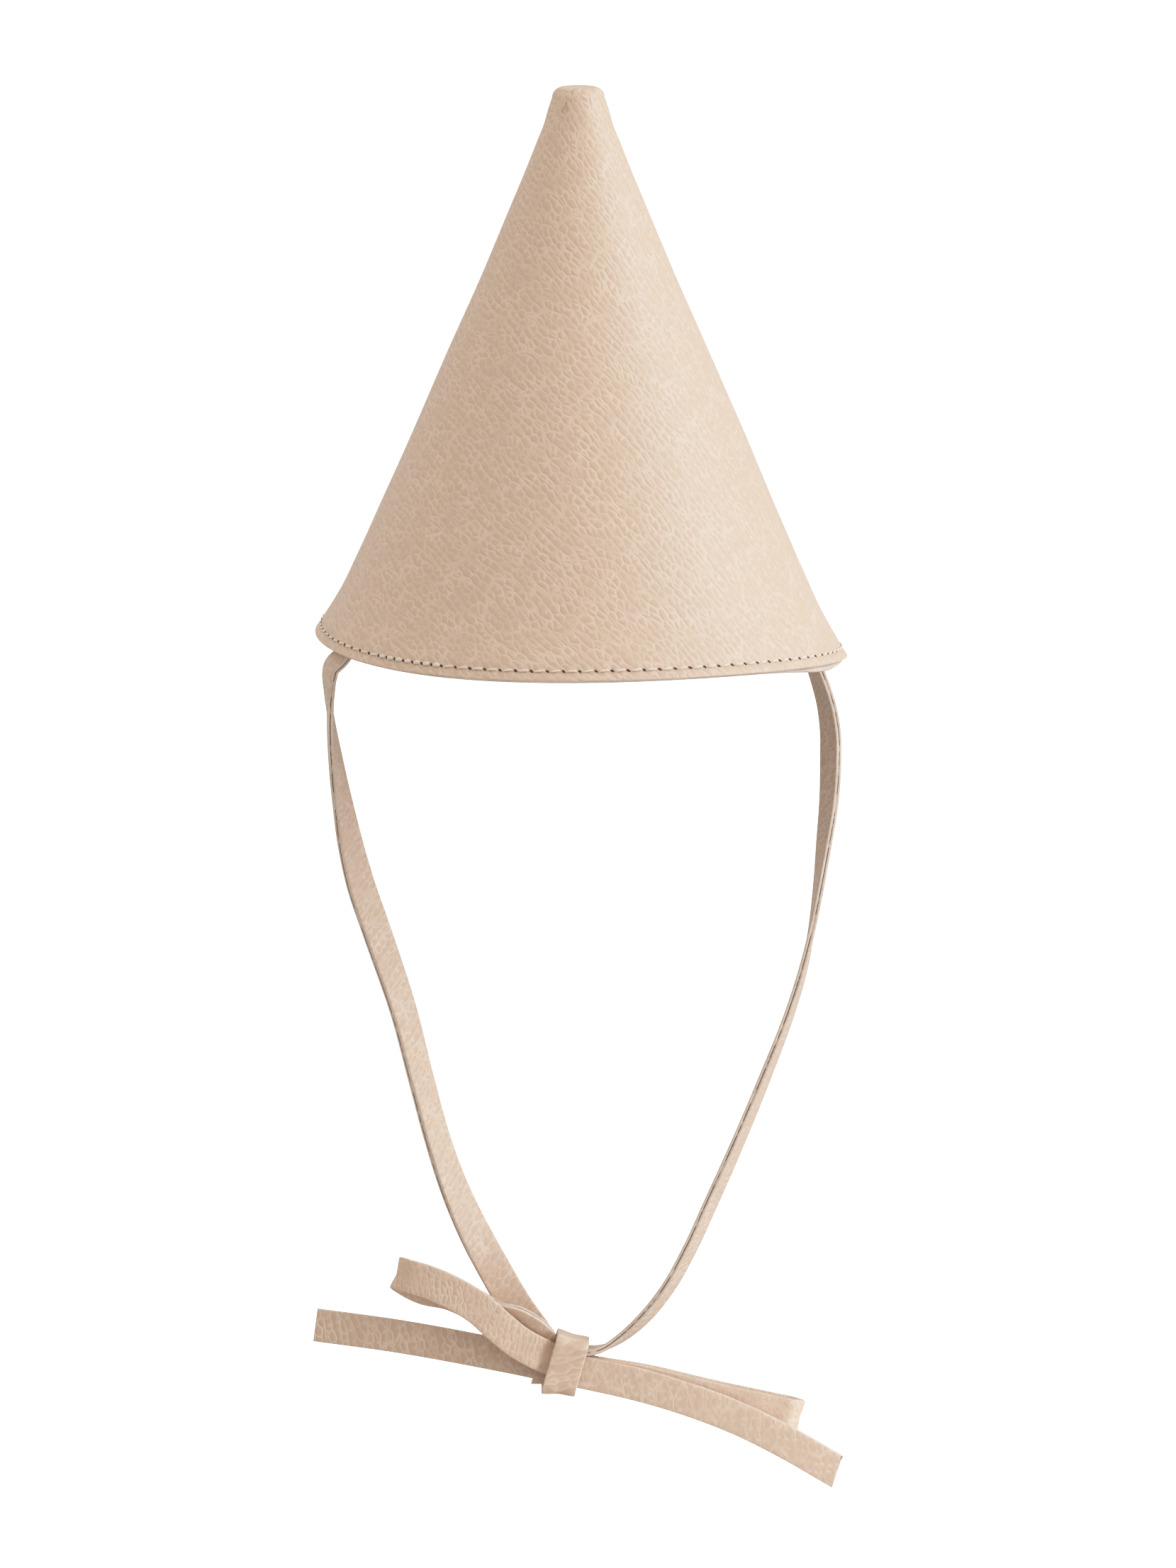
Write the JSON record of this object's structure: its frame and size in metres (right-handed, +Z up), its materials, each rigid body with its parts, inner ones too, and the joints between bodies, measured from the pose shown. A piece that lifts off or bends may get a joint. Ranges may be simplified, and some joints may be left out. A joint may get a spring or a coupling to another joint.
{
  "type": "leather party hat",
  "caption": "Blunt cone hat of pebble-grained leather with a stitched rim and two flat leather ties, tied below in a bow.",
  "frame": {"origin": "centre of the rim's opening, where the hat sits on the head", "axes": "+Z up the cone to its tip, -Y the front, where the bow faces, +X to the right seen from the front"},
  "size_m": [0.151, 0.1504, 0.3983],
  "materials": {
    "crown_leather": "pebble-grained natural beige leather, soft satin",
    "facing_leather": "plain brown-pink inner leather, matt",
    "strap_leather": "two plies of grained beige leather back to back, pale cut edges",
    "stitch_thread": "twisted waxed cream thread"
  },
  "bodies": {
    "root": {"crown": "crown_leather", "rim_facing": "facing_leather", "tie_left": "strap_leather", "tie_right": "strap_leather", "bow_loop_left": "strap_leather", "bow_loop_right": "strap_leather", "bow_tail_left": "strap_leather", "bow_tail_right": "strap_leather", "knot_wrap": "strap_leather"}
  },
  "joints": []
}
